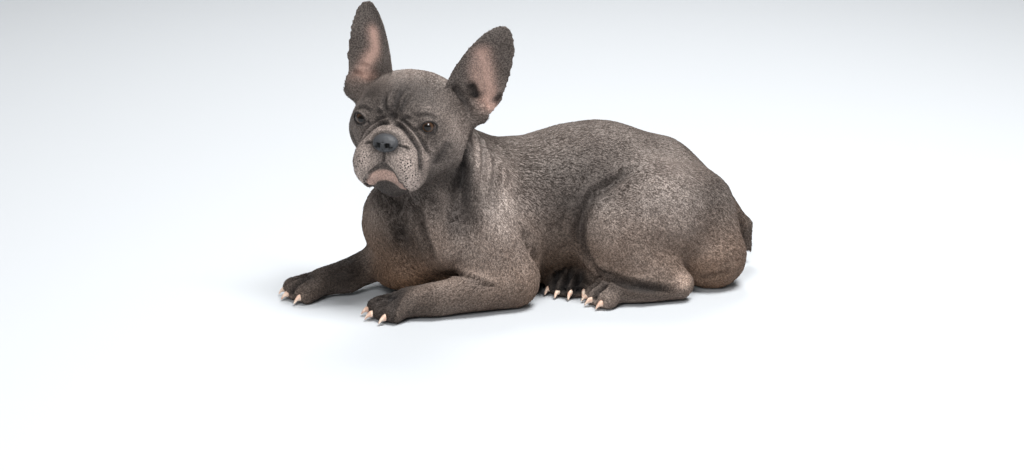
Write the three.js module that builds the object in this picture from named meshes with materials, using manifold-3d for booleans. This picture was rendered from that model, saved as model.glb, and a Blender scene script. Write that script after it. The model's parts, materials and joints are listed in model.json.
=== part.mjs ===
// A French bulldog lying with its head up, life size, as separate closed solids.
// Millimetres, +Z up, floor at z = 0. The trunk lies along X with the head end at -X, and the
// dog's left side is at -Y. The flesh is one smooth field of limbs and masses. It is meshed
// once, thinned, and parted by thin cuts where one body part's own flesh gives way to the next.
import * as THREE from "three";
import { mergeVertices } from "three/addons/utils/BufferGeometryUtils.js";
import { SimplifyModifier } from "three/addons/modifiers/SimplifyModifier.js";
import Module from "manifold-3d";

const wasm = await Module();
wasm.setup();

// ---- Driving sizes ----
const FLESH_CELL = 4; // the flesh is meshed at this spacing
const FLESH_CORNERS = 1600; // and thinned to this many corners
const CUT_CELL = 8; // the surfaces that the cuts follow are meshed at this spacing
const CUT_CORNERS = 40; // and thinned to this many corners each
const GAP = 0.3; // between solids that touch
const LEAD = { upper_arm_left: 6, upper_arm_right: 12 }; // how much further a part reaches into its rivals
const EYES_MIDDLE = [-203, -62.8, 213.5]; // the point midway between the eyes
const EYE_SIDE = 38; // each eye's centre from the head's middle plane
const EYE_RADIUS = 11;
const HEAD_YAW = 50; // degrees that the head is turned towards the dog's left
const HEAD_ROLL = -1.5; // degrees that its left side is raised
const NOSE_CENTRE = [28.5, 0, -17.5];
const NOSE_RADII = [10.5, 14.5, 10.5];
const EAR_LENGTH = 114;
const EAR_HALF_WIDTH = 36.5;
const EAR_THICKNESS = 4.4;
const EAR_CUP = 17; // how far the ear's middle lies behind its edges
const TOE_RADIUS = 10.5;
const CLAW_LENGTH = 14;
const CLAW_RADIUS = 3.4;
const CLAW_BEND = 3.2; // how far its point drops below its own line
const CLAW_TILT = 16; // degrees that it leans down
const CLAW_HEIGHT = 8; // its middle above the floor
const CLAW_FAN = 0.9; // degrees that it turns out per millimetre that its toe stands aside

const COAT = { color: "#6d655f", roughness: 0.85, metalness: 0 };
const WET_NOSE = { color: "#3a3b40", roughness: 0.45, metalness: 0 };
const EYE = { color: "#4a2b16", roughness: 0.08, metalness: 0 };
const HORN = { color: "#c9a78f", roughness: 0.5, metalness: 0 };

const radians = THREE.MathUtils.degToRad;

// ---- The head's own frame: forward, left and up from the point between the eyes ----
const forward = new THREE.Vector3(-Math.cos(radians(HEAD_YAW)), -Math.sin(radians(HEAD_YAW)), 0);
const leftwards = new THREE.Vector3(0, 0, 1).cross(forward).applyAxisAngle(forward, radians(HEAD_ROLL));
const HEAD = new THREE.Matrix4()
  .makeBasis(forward, leftwards, forward.clone().cross(leftwards))
  .setPosition(...EYES_MIDDLE);
const BODY = new THREE.Matrix4();

// ---- The flesh: shapes that melt into one another ----
// Each shape has a distance, negative inside; the part that it belongs to; how softly it melts
// into the flesh before it; and a claim, the distance that decides where its part ends.
const flesh = [];
const FAR = 1e3;

// The smaller of two distances, rounded off over a width.
function melt(a, b, width) {
  const h = Math.max(width - Math.abs(a - b), 0);
  return width > 0 ? Math.min(a, b) - (h * h) / (4 * width) : Math.min(a, b);
}

// The distance to a round, tapered bar between two stations [x, y, z, radius]. Drawn back, it
// stops short of both stations, so that two bars in line share their joint fairly.
function bar([ax, ay, az, ra], [bx, by, bz, rb], drawnBack) {
  const [dx, dy, dz] = [bx - ax, by - ay, bz - az];
  const lengthSquared = dx * dx + dy * dy + dz * dz;
  return (x, y, z) => {
    const [px, py, pz] = [x - ax, y - ay, z - az];
    const along = (px * dx + py * dy + pz * dz) / lengthSquared;
    const t = Math.min(1 - drawnBack, Math.max(drawnBack, along));
    return Math.hypot(px - t * dx, py - t * dy, pz - t * dz) - ra - t * (rb - ra);
  };
}

// A limb through stations, whose bars melt a little into one another.
function limb(part, softness, stations, inner = 4) {
  const bars = (drawnBack) => stations.slice(1).map((s, i) => bar(stations[i], s, drawnBack));
  const [whole, short] = [bars(0), bars(0.12)];
  flesh.push({
    part,
    softness,
    distance: (x, y, z) => whole.reduce((d, f) => melt(d, f(x, y, z), inner), FAR),
    claim: (x, y, z) => short.reduce((d, f) => Math.min(d, f(x, y, z)), FAR),
  });
}

// An ellipsoid in a frame, turned by Euler angles in degrees.
function mass(part, softness, centre, [rx, ry, rz], turn = [0, 0, 0], frame = BODY) {
  const e = new THREE.Matrix4()
    .makeRotationFromEuler(new THREE.Euler(...turn.map(radians)))
    .setPosition(...centre)
    .premultiply(frame)
    .invert().elements;
  const distance = (x, y, z) => {
    const px = (e[0] * x + e[4] * y + e[8] * z + e[12]) / rx;
    const py = (e[1] * x + e[5] * y + e[9] * z + e[13]) / ry;
    const pz = (e[2] * x + e[6] * y + e[10] * z + e[14]) / rz;
    const reach = Math.hypot(px, py, pz);
    const slope = Math.hypot(px / rx, py / ry, pz / rz);
    return slope < 1e-9 ? -Math.min(rx, ry, rz) : (reach * (reach - 1)) / slope;
  };
  flesh.push({ part, softness, distance, claim: distance });
}

function headMass(part, softness, centre, radii, turn) {
  mass(part, softness, centre, radii, turn, HEAD);
}

function headPair(part, softness, [f, l, u], radii, [tf, tl, tu] = [0, 0, 0]) {
  for (const side of [1, -1])
    headMass(part, softness, [f, side * l, u], radii, [side * tf, tl, side * tu]);
}

function trunk() {
  limb("chest", 0, [[-166, 8, 80, 58], [-120, 4, 86, 81], [-62, 0, 83, 81], [-20, 0, 84, 82]], 12);
  mass("chest", 14, [-184, -8, 31], [34, 42, 23]);
  limb("belly_and_rump", 12, [[-20, 0, 84, 82], [22, 0, 90, 86], [52, 0, 95, 82]], 12);
  limb("belly_and_rump", 12, [[52, 0, 95, 82], [112, 4, 83, 73], [152, 9, 64, 59], [186, 10, 54, 40]], 12);
  limb("tail", 6, [[206, -6, 64, 13], [227, -12, 48, 8], [231, -14, 17, 5]]);
}

function neck() {
  limb("neck", 24, [[-116, 4, 120, 58], [-145, -12, 154, 52], [-168, -27, 188, 49]], 8);
}

function head() {
  headMass("head", 14, [-42, 0, 6], [49, 60, 42]);
  headMass("head", 14, [-10, 0, 12], [23, 42, 24]);
  headPair("head", 12, [-35, 36, -20], [36, 34, 34]);
  headPair("head", 12, [-16, 32, -14], [23, 27, 26]);
  headMass("head", 14, [-28, 0, -48], [38, 42, 28]);
  headPair("head", 6, [-3.5, EYE_SIDE, 0], [12, 17, 14.5]);
  headMass("head", 8, [-50, 68, 8], [12, 20, 17]);
  headMass("head", 8, [-46, -68, 18], [11, 18, 16]);
  headMass("muzzle", 8, [8, 0, -20], [24, 31, 21]);
  headPair("muzzle", 8, [15.5, 21.5, -45.5], [21, 22, 27]);
  headMass("muzzle", 8, [18, 0, -34], [17, 16, 14]);
  headMass("lower_jaw", 6, [11, 0, -59], [20, 23, 24]);
}

// Four toes spread from the knuckles. Each is [reach ahead, offset to the paw's left], and
// the heading is the paw's angle from +X, seen from above.
const claws = [];
function toes(paw, [x, y, z], heading, spread) {
  const [c, s] = [Math.cos(radians(heading)), Math.sin(radians(heading))];
  const place = (reach, aside) => [x + reach * c - aside * s, y + reach * s + aside * c];
  spread.forEach(([reach, aside], i) => {
    const root = place(2, aside * 0.55);
    const tip = place(reach, aside);
    limb(paw, 4, [[...root, z, TOE_RADIUS + 1], [...tip, TOE_RADIUS - 1.5, TOE_RADIUS]]);
    claws.push({ name: `claw_${paw}_${i + 1}`, tip, aim: radians(heading + CLAW_FAN * aside) });
  });
}

function forelegs() {
  mass("upper_arm_left", 26, [-102, -48, 110], [34, 32, 58], [0, -20, 0]);
  limb("upper_arm_left", 16, [[-142, -58, 76, 36], [-98, -73, 74, 41], [-82, -84, 34, 33]], 8);
  limb("forearm_left", 8, [[-81, -90, 28, 28], [-130, -98, 24, 21], [-174, -98, 20, 18]]);
  limb("forepaw_left", 8, [[-174, -98, 20, 18], [-202, -91, 17, 17]]);
  toes("forepaw_left", [-204, -90, 16], 168, [[16, 22], [29, 8], [32, -7], [25, -22]]);
  mass("upper_arm_right", 26, [-112, 50, 106], [36, 30, 55], [0, -20, 0]);
  limb("upper_arm_right", 16, [[-150, 56, 76, 36], [-122, 70, 60, 38], [-126, 70, 40, 32]], 8);
  limb("forearm_right", 8, [[-126, 68, 40, 29], [-185, 36, 34, 22], [-242, 10, 22, 18]]);
  limb("forepaw_right", 8, [[-242, 10, 22, 18], [-270, 12, 18, 17]]);
  toes("forepaw_right", [-273, 13, 16], 172, [[18, 24], [29, 8], [30, -8], [20, -22]]);
}

function hindLegs() {
  limb("thigh_left", 14, [[158, -80, 36, 40], [138, -50, 76, 55], [92, -64, 83, 62], [50, -78, 68, 49]], 14);
  limb("shank_left", 10, [[48, -86, 54, 41], [80, -106, 34, 27], [101, -123, 21, 17]], 6);
  limb("hindfoot_left", 4, [[103, -125, 17, 15], [60, -121, 16, 15], [32, -113, 16, 15]]);
  toes("hindfoot_left", [30, -112, 15], 174, [[12, 19], [20, 6], [20, -7], [13, -16]]);
  limb("thigh_right", 14, [[158, 62, 42, 40], [140, 50, 76, 54], [95, 74, 68, 56], [52, 82, 46, 44]], 14);
  limb("thigh_right", 10, [[52, 82, 42, 40], [72, 40, 26, 26], [74, 10, 20, 17]], 6);
  limb("hindfoot_right", 4, [[74, 8, 17, 16], [37, -32, 17, 16], [8, -55, 16, 15]]);
  toes("hindfoot_right", [5, -57, 15], 228, [[15, 16], [24, 5], [24, -8], [18, -20]]);
}

trunk();
neck();
head();
forelegs();
hindLegs();

const body = (x, y, z) => flesh.reduce((d, s) => melt(d, s.distance(x, y, z), s.softness), FAR);
const ROOM = new THREE.Box3(new THREE.Vector3(-345, -180, -24), new THREE.Vector3(285, 175, 320));

// ---- Meshing a field: one corner in each grid cell that its surface crosses ----
const BLOCK = 4; // cells that are skipped together where the surface is far away
const STEEPEST = 1.3; // the fastest that a field changes, with room for melting
const CORNERS = [...Array(8).keys()].map((i) => [i & 1, (i >> 1) & 1, i >> 2]);
const EDGES = CORNERS.flatMap((_, i) => [1, 2, 4].filter((b) => !(i & b)).map((b) => [i, i | b]));
const STEPS = [[1, 0, 0], [0, 1, 0], [0, 0, 1]];

function sample(field, cell) {
  const low = ROOM.min.toArray();
  const counts = ROOM.getSize(new THREE.Vector3()).toArray().map((s) => Math.ceil(s / cell) + 1);
  const [nx, ny, nz] = counts;
  const values = new Float32Array(nx * ny * nz);
  const reach = (BLOCK / 2) * cell * Math.sqrt(3) * STEEPEST;
  for (let kb = 0; kb < nz; kb += BLOCK)
    for (let jb = 0; jb < ny; jb += BLOCK)
      for (let ib = 0; ib < nx; ib += BLOCK) {
        const middle = field(...[ib, jb, kb].map((n, a) => low[a] + (n + BLOCK / 2) * cell));
        for (let k = kb; k < Math.min(kb + BLOCK, nz); k++)
          for (let j = jb; j < Math.min(jb + BLOCK, ny); j++)
            for (let i = ib; i < Math.min(ib + BLOCK, nx); i++)
              values[(k * ny + j) * nx + i] = Math.abs(middle) > reach
                ? middle
                : field(low[0] + i * cell, low[1] + j * cell, low[2] + k * cell);
      }
  return { low, cell, counts, values };
}

function surfaceOf({ low, cell, counts: [nx, ny, nz], values }) {
  const at = (i, j, k) => (k * ny + j) * nx + i;
  const points = [];
  const corner = new Map();
  for (let k = 0; k < nz - 1; k++)
    for (let j = 0; j < ny - 1; j++)
      for (let i = 0; i < nx - 1; i++) {
        const v = CORNERS.map(([a, b, c]) => values[at(i + a, j + b, k + c)]);
        const crossed = EDGES.filter(([p, q]) => v[p] < 0 !== v[q] < 0);
        if (!crossed.length) continue;
        const sum = [0, 0, 0];
        for (const [p, q] of crossed) {
          const t = v[p] / (v[p] - v[q]);
          for (let a = 0; a < 3; a++) sum[a] += CORNERS[p][a] + t * (CORNERS[q][a] - CORNERS[p][a]);
        }
        corner.set(at(i, j, k), points.length / 3);
        points.push(...[i, j, k].map((n, a) => low[a] + (n + sum[a] / crossed.length) * cell));
      }
  const index = [];
  for (let k = 1; k < nz - 1; k++)
    for (let j = 1; j < ny - 1; j++)
      for (let i = 1; i < nx - 1; i++)
        STEPS.forEach((s, axis) => {
          const inside = values[at(i, j, k)] < 0;
          if (inside === values[at(i + s[0], j + s[1], k + s[2])] < 0) return;
          const [u, w] = [STEPS[(axis + 1) % 3], STEPS[(axis + 2) % 3]];
          const back = (a, b) => corner.get(at(...[i, j, k].map((n, x) => n - a * u[x] - b * w[x])));
          const quad = [back(0, 0), back(1, 0), back(1, 1), back(0, 1)];
          if (!inside) quad.reverse();
          index.push(quad[0], quad[1], quad[2], quad[0], quad[2], quad[3]);
        });
  const geometry = new THREE.BufferGeometry();
  geometry.setAttribute("position", new THREE.Float32BufferAttribute(points, 3));
  geometry.setIndex(index);
  return geometry;
}

async function thinned(geometry, corners) {
  const surplus = geometry.attributes.position.count - corners;
  return surplus > 0 ? new SimplifyModifier().modify(geometry, surplus) : geometry;
}

// The same surface moved outwards by the gap.
function grown(geometry) {
  const bigger = geometry.clone();
  bigger.computeVertexNormals();
  const { position, normal } = bigger.attributes;
  const [p, n] = [new THREE.Vector3(), new THREE.Vector3()];
  for (let i = 0; i < position.count; i++) {
    p.fromBufferAttribute(position, i).addScaledVector(n.fromBufferAttribute(normal, i), GAP);
    position.setXYZ(i, ...p);
  }
  return bigger;
}

// ---- Solids ----
function merged(geometry) {
  const bare = geometry.clone();
  bare.deleteAttribute("normal");
  bare.deleteAttribute("uv");
  return mergeVertices(bare, 1e-3);
}

function solidOf(geometry) {
  const { attributes, index } = merged(geometry);
  return new wasm.Manifold(
    new wasm.Mesh({
      numProp: 3,
      vertProperties: new Float32Array(attributes.position.array),
      triVerts: new Uint32Array(index.array),
    }),
  );
}

function geometryOf(solid) {
  const { vertProperties, triVerts } = solid.getMesh();
  const geometry = new THREE.BufferGeometry();
  geometry.setAttribute("position", new THREE.BufferAttribute(vertProperties, 3));
  geometry.setIndex(new THREE.BufferAttribute(triVerts, 1));
  return geometry;
}

const largest = (solid) => solid.decompose().sort((a, b) => b.volume() - a.volume())[0];

const dog = new THREE.Group();
function addMesh(name, solid, look) {
  const mesh = new THREE.Mesh(geometryOf(solid), new THREE.MeshStandardMaterial(look));
  mesh.name = name;
  dog.add(mesh);
}

// ---- Eyes, nose, ears and claws ----
function eyeball(side) {
  return merged(new THREE.SphereGeometry(EYE_RADIUS, 12, 7))
    .applyMatrix4(new THREE.Matrix4().makeTranslation(0, side * EYE_SIDE, 0).premultiply(HEAD));
}

function nose() {
  return merged(new THREE.SphereGeometry(1, 12, 7))
    .applyMatrix4(new THREE.Matrix4().makeScale(...NOSE_RADII).setPosition(...NOSE_CENTRE))
    .applyMatrix4(HEAD);
}

// A leaf with a round tip, cupped forwards. It rises from its root along +Z before it is leaned
// outwards and turned outwards, both in degrees. Side is 1 for the dog's left.
function ear(side, root, lean, turn) {
  const leaf = merged(new THREE.SphereGeometry(1, 12, 10).rotateX(Math.PI / 2));
  const { position } = leaf.attributes;
  for (let i = 0; i < position.count; i++) {
    const [x, y, z] = [position.getX(i), position.getY(i), position.getZ(i)];
    const across = Math.hypot(x, y) > 1e-6 ? y / Math.hypot(x, y) : 0;
    const through = Math.hypot(x, y) > 1e-6 ? x / Math.hypot(x, y) : 0;
    const s = (z + 1) / 2;
    const outline = (1 - 0.28 * s) * (1 - s ** 4) ** 0.5 * (1 - (1 - s) ** 8) ** 0.5;
    const cup = EAR_CUP * (1.25 - s) * (1 - across ** 2);
    position.setXYZ(
      i,
      through * (EAR_THICKNESS / 2) * outline ** 0.5 - cup,
      across * EAR_HALF_WIDTH * outline,
      s * EAR_LENGTH,
    );
  }
  const place = new THREE.Matrix4()
    .makeRotationFromEuler(new THREE.Euler(-side * radians(lean), 0, side * radians(turn), "XYZ"))
    .setPosition(...root)
    .premultiply(HEAD);
  return leaf.applyMatrix4(place);
}

// A bent cone from inside the toe, ahead and down to the floor.
function claw({ tip, aim }) {
  const cone = merged(
    new THREE.CylinderGeometry(CLAW_RADIUS * 0.3, CLAW_RADIUS, CLAW_LENGTH, 5, 2).rotateZ(-Math.PI / 2),
  );
  const { position } = cone.attributes;
  for (let i = 0; i < position.count; i++) {
    const along = position.getX(i) / CLAW_LENGTH + 0.5;
    position.setZ(i, position.getZ(i) - CLAW_BEND * along ** 2);
  }
  return cone
    .rotateY(radians(CLAW_TILT))
    .translate(TOE_RADIUS - 0.5, 0, CLAW_HEIGHT)
    .rotateZ(aim)
    .translate(...tip, 0);
}

// ---- The whole flesh, cut flat at the floor ----
const skin = await thinned(surfaceOf(sample(body, FLESH_CELL)), FLESH_CORNERS);
const floor = solidOf(new THREE.BoxGeometry(1000, 1000, 200).translate(0, 0, -100));
let rest = solidOf(skin).subtract(floor);
const coated = solidOf(grown(skin));

for (const side of [1, -1]) {
  const name = side === 1 ? "left" : "right";
  addMesh(`eye_${name}`, solidOf(eyeball(side)), EYE);
  rest = rest.subtract(solidOf(grown(eyeball(side))));
}
addMesh("nose", solidOf(nose()), WET_NOSE);
rest = rest.subtract(solidOf(grown(nose())));
addMesh("ear_left", largest(solidOf(ear(1, [-38, 58, 5], 26.5, 18)).subtract(coated)), COAT);
addMesh("ear_right", largest(solidOf(ear(-1, [-38, -50, 6], 2.5, 12)).subtract(coated)), COAT);
for (const c of claws) addMesh(c.name, largest(solidOf(claw(c)).subtract(coated)), HORN);

// ---- The parts of the body ----
const parts = [...new Set(flesh.map((s) => s.part))];
const claims = {};
for (const part of parts) {
  const own = flesh.filter((s) => s.part === part);
  const claim = (x, y, z) => own.reduce((d, s) => Math.min(d, s.claim(x, y, z)), FAR);
  claims[part] = sample((x, y, z) => claim(x, y, z) - (LEAD[part] ?? 0), CUT_CELL);
}

// The surface round the space that belongs to a part rather than to its rivals.
function regionOf(part, rivals) {
  const { counts: [nx, ny, nz], values } = claims[part];
  const own = values.map((v, n) => {
    const [i, j, k] = [n % nx, Math.floor(n / nx) % ny, Math.floor(n / nx / ny)];
    const rim = i < 2 || j < 2 || k < 2 || i > nx - 3 || j > ny - 3 || k > nz - 3;
    return rim ? CUT_CELL : v - Math.min(...rivals.map((r) => claims[r].values[n]));
  });
  return surfaceOf({ ...claims[part], values: own });
}

// Small parts are cut out first, so that the surfaces round the large ones can stay plain.
const size = (part) => claims[part].values.reduce((n, v) => n + (v < 0), 0);
const order = [...parts].sort((a, b) => size(a) - size(b));
for (const [n, part] of order.entries()) {
  const rivals = order.slice(n + 1);
  if (rivals.length) {
    const region = await thinned(regionOf(part, rivals), CUT_CORNERS);
    const piece = largest(rest.intersect(solidOf(region)));
    addMesh(part, piece, COAT);
    rest = rest.subtract(solidOf(grown(region))).subtract(piece);
  } else addMesh(part, largest(rest), COAT);
}

// The origin is the middle of the box round the whole dog, on the floor.
const middle = new THREE.Box3().setFromObject(dog).getCenter(new THREE.Vector3());
dog.position.set(-middle.x, -middle.y, 0);

export default dog;
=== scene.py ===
# %% [markdown]
# # A French bulldog lying with its head up
#
# A life-size still model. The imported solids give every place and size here: this file grows one
# skin out of the flesh solids, shapes the face, ears and paws on it, and lays a short coat of
# small solid tufts over it. The eyes, the nose and the claws are pieces of their own.
# Lengths are in metres, and a number times MM is in millimetres.

import json
import math

import bmesh
import bpy
import numpy as np
from mathutils import Matrix, Vector
from mathutils.bvhtree import BVHTree
from mathutils.kdtree import KDTree


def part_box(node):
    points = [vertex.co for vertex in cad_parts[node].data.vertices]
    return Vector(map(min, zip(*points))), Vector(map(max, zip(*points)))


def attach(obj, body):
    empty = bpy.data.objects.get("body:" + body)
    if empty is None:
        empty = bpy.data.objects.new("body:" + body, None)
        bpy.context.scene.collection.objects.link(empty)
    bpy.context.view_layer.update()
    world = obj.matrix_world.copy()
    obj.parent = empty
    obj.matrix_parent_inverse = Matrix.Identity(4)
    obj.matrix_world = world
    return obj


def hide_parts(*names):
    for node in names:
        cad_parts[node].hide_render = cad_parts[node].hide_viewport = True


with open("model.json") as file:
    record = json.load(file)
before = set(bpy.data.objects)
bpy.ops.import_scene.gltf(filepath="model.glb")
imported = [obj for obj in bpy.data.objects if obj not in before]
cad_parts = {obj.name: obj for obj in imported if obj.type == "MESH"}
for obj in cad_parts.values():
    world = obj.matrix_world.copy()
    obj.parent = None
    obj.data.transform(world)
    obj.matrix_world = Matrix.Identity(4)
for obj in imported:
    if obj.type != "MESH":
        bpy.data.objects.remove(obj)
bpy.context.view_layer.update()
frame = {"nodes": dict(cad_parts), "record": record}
MM = 0.001
chance = np.random.default_rng(11)

# %% [markdown]
# ## The head's own axes
#
# A face is easiest to shape in its own frame: forward, towards the dog's left, and up, counted in
# millimetres from the point midway between the eyes. The two eye solids give that point and the
# direction across. The forward axis is level, so the third one follows.


# %% Head frame
def corners_of(node):
    return np.array([v.co for v in frame["nodes"][node].data.vertices])


def middle_of(node):
    low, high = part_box(node)
    return np.array((low + high) / 2)


def unit(vectors):
    vectors = np.asarray(vectors, float)
    return vectors / np.maximum(np.linalg.norm(vectors, axis=-1, keepdims=True), 1e-12)


SIDES = {"left": 1, "right": -1}
EYES = {side: middle_of(f"eye_{side}") for side in SIDES}
EYE_RADIUS = np.linalg.norm(corners_of("eye_left") - EYES["left"], axis=1).max()
BETWEEN_EYES = (EYES["left"] + EYES["right"]) / 2
LEFT = unit(EYES["left"] - EYES["right"])
FORWARD = unit(np.cross(LEFT, (0, 0, 1)))
UP = np.cross(FORWARD, LEFT)
HEAD_AXES = np.array([FORWARD, LEFT, UP])


def to_head(points):
    return (np.asarray(points) - BETWEEN_EYES) @ HEAD_AXES.T / MM


def from_head(points):
    return np.asarray(points, float) * MM @ HEAD_AXES + BETWEEN_EYES


print("eyes", round(float(np.linalg.norm(EYES["left"] - EYES["right"]) / MM)), "mm apart")

# %% [markdown]
# ## Working on a mesh as arrays
#
# A sculptor's brush moves many points a little. The same can be done with arrays: read all points
# of a mesh, move them, and write them back. Relaxing moves each point towards the mean of its
# neighbours. Relaxing alone shrinks a form, so each round is followed by a slightly stronger push
# the other way, which keeps the size and takes away only the facets.


# %% Mesh helpers
def points_of(mesh):
    found = np.empty(len(mesh.vertices) * 3)
    mesh.vertices.foreach_get("co", found)
    return found.reshape(-1, 3)


def place_points(mesh, points):
    mesh.vertices.foreach_set("co", points.astype(np.float32).ravel())
    mesh.update()


def normals_of(mesh):
    found = np.empty(len(mesh.vertices) * 3, np.float32)
    mesh.vertex_normals.foreach_get("vector", found)
    return found.reshape(-1, 3).astype(float)


def neighbours_of(mesh):
    """A table with a row of neighbours for each point, filled up with the point itself."""
    pairs = np.empty(len(mesh.edges) * 2, np.int32)
    mesh.edges.foreach_get("vertices", pairs)
    a, b = pairs.reshape(-1, 2).T
    start, end = np.concatenate([a, b]), np.concatenate([b, a])
    order = np.argsort(start, kind="stable")
    start, end = start[order], end[order]
    count = np.bincount(start, minlength=len(mesh.vertices))
    first = np.cumsum(count) - count
    table = np.tile(np.arange(len(count))[:, None], (1, count.max()))
    table[start, np.arange(len(start)) - first[start]] = end
    return table, np.maximum(count, 1)


def neighbour_mean(values, near):
    table, count = near
    spare = (table.shape[1] - count).reshape(-1, *[1] * (values.ndim - 1))
    return (values[table].sum(axis=1) - spare * values) / count.reshape(spare.shape)


def relaxed(values, near, rounds, strength=0.6, keep_size=False):
    strength = np.broadcast_to(np.asarray(strength, float), (len(values),))
    strength = strength.reshape(-1, *[1] * (values.ndim - 1))
    for _ in range(rounds):
        values = values + strength * (neighbour_mean(values, near) - values)
        if keep_size:
            values = values - 1.03 * strength * (neighbour_mean(values, near) - values)
    return values


def mesh_object(name, mesh):
    made = bpy.data.objects.new(name, mesh)
    bpy.context.scene.collection.objects.link(made)
    return made


def modified(mesh, kind, weights=None, **settings):
    """The mesh that one modifier makes of this one."""
    carrier = mesh_object("carrier", mesh)
    modifier = carrier.modifiers.new(kind, kind)
    if weights is not None:
        group = carrier.vertex_groups.new(name="weights")
        for level in np.unique(weights):
            group.add(np.flatnonzero(weights == level).tolist(), float(level), "REPLACE")
        modifier.vertex_group = group.name
    for name, value in settings.items():
        setattr(modifier, name, value)
    seen = carrier.evaluated_get(bpy.context.evaluated_depsgraph_get())
    made = bpy.data.meshes.new_from_object(seen)
    bpy.data.objects.remove(carrier)
    bpy.data.meshes.remove(mesh)
    return made


def bmesh_done(bm, name):
    mesh = bpy.data.meshes.new(name)
    bm.to_mesh(mesh)
    bm.free()
    return mesh


# %% [markdown]
# ## One form out of many solids
#
# The flesh comes as separate solids with hair-thin cuts between them. Copies of them are grown
# until they overlap, and a voxel remesh wraps them all in one even net of small squares, with no
# inner walls. The eyeballs are wrapped in too, a lid's thickness larger, so that there is flesh
# over them to cut the lids from. A coarse net is enough for the body: it is relaxed until the
# facets are gone. The ears are too thin for it and join later, in a finer net.

# %% Body form
LID = 1.3 * MM
CLOSE_CUTS = 0.5 * MM
COARSE = 4 * MM
FLESH = sorted(s["node"] for s in frame["record"]["subparts"] if s["material_slot"] == "coat")
EARS = ["ear_left", "ear_right"]


def grown_copies(amounts):
    """One bmesh with a merged copy of each node, grown by its amount."""
    whole = bmesh.new()
    for node, amount in amounts.items():
        part = bmesh.new()
        part.from_mesh(frame["nodes"][node].data)
        bmesh.ops.remove_doubles(part, verts=part.verts, dist=1e-6)
        part.normal_update()
        for v in part.verts:
            v.co += v.normal * amount
        mesh = bmesh_done(part, "part")
        whole.from_mesh(mesh)
        bpy.data.meshes.remove(mesh)
    return whole


body_parts = {node: CLOSE_CUTS for node in FLESH if node not in EARS}
body_parts.update({"eye_left": LID, "eye_right": LID, "nose": -1.5 * MM})
body = bmesh_done(grown_copies(body_parts), "body")
body = modified(body, "REMESH", mode="VOXEL", voxel_size=COARSE)

# How strongly each part is relaxed: a trunk is one smooth swell, and a paw keeps its toes.
SOFTNESS = {"forepaw": 0.25, "hindfoot": 0.25, "muzzle": 0.4, "lower_jaw": 0.4, "tail": 0.4}
part_tree = KDTree(sum(len(frame["nodes"][n].data.polygons) for n in FLESH))
part_names = []
for node in FLESH:
    for face in frame["nodes"][node].data.polygons:
        part_tree.insert(face.center, len(part_names))
        part_names.append(node)
part_tree.balance()


def parts_at(points):
    return [part_names[part_tree.find(p)[1]] for p in points]


def by_part(parts, table, usual):
    """A number for each point from a table whose keys begin a part's name."""
    values = {p: next((v for k, v in table.items() if p.startswith(k)), usual) for p in set(parts)}
    return np.array([values[p] for p in parts])


places = points_of(body)
near = neighbours_of(body)
soft = by_part(parts_at(places), SOFTNESS, 0.6)
places = relaxed(places, near, 14, soft, keep_size=True)
place_points(body, places)
body = modified(body, "SUBSURF", levels=1, render_levels=1)
print("body form", len(body.vertices), "points")

# %% [markdown]
# ## Ears, and the fine net
#
# Each ear solid is a cupped leaf. It is subdivided until it is round, and joined with the body in
# a net fine enough for its rim. Most of that net is wasted on the trunk, so the trunk is thinned
# again, while the face gets one more subdivision for its folds and lids.

# %% Fine net
FINE = 1.6 * MM
EAR_GROWTH = 0.9 * MM
ears = bmesh_done(grown_copies({ear: EAR_GROWTH for ear in EARS}), "ears")
ears = modified(ears, "SUBSURF", levels=2, render_levels=2)
whole = bmesh.new()
whole.from_mesh(body)
whole.from_mesh(ears)
form = modified(bmesh_done(whole, "form"), "REMESH", mode="VOXEL", voxel_size=FINE)
near = neighbours_of(form)
place_points(form, relaxed(points_of(form), near, 4, 0.5, keep_size=True))
print("fine net", len(form.vertices), "points")


def on_head(points):
    """Which points lie on the head or the ears."""
    f, l, u = to_head(points).T
    return (f > -75) & (np.abs(l) < 130) & (u > -92) & (u < 140) & (f + 0.35 * u < 60)


head = on_head(points_of(form))
CLAW_NODES = sorted(n for n in frame["nodes"] if n.startswith("claw_"))
PAW_REACH = 34 * MM


def on_paws(points):
    reach = np.full(len(points), np.inf)
    for claw in CLAW_NODES:
        reach = np.minimum(reach, np.linalg.norm(points - middle_of(claw), axis=1))
    return reach < PAW_REACH


detailed = head | on_paws(points_of(form))
TRUNK_SHARE = 0.075
kept = detailed.mean() + (1 - detailed.mean()) * TRUNK_SHARE
form = modified(form, "DECIMATE", weights=np.where(detailed, 0.0, 1.0), ratio=float(kept))
print("after thinning", len(form.vertices), "points")

FACE_BACK, FACE_SIDE, FACE_LOW, FACE_HIGH = -12, 62, -80, 36
bm = bmesh.new()
bm.from_mesh(form)
bm.verts.ensure_lookup_table()
f, l, u = to_head([v.co for v in bm.verts]).T
facial = (f > FACE_BACK) & (np.abs(l) < FACE_SIDE) & (u > FACE_LOW) & (u < FACE_HIGH)
edges = [e for e in bm.edges if all(facial[v.index] for v in e.verts)]
bmesh.ops.subdivide_edges(bm, edges=edges, cuts=1, use_grid_fill=True)
bmesh.ops.triangulate(bm, faces=bm.faces)
skin_mesh = bmesh_done(bm, "skin")
near = neighbours_of(skin_mesh)
places = points_of(skin_mesh)
rims = by_part(parts_at(places), {"ear": 0.6}, 0.0)
places = relaxed(places, near, 12, rims, keep_size=True)
place_points(skin_mesh, relaxed(places, near, 2, 0.5, keep_size=True))
print("skin net", len(skin_mesh.polygons), "triangles")
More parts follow.
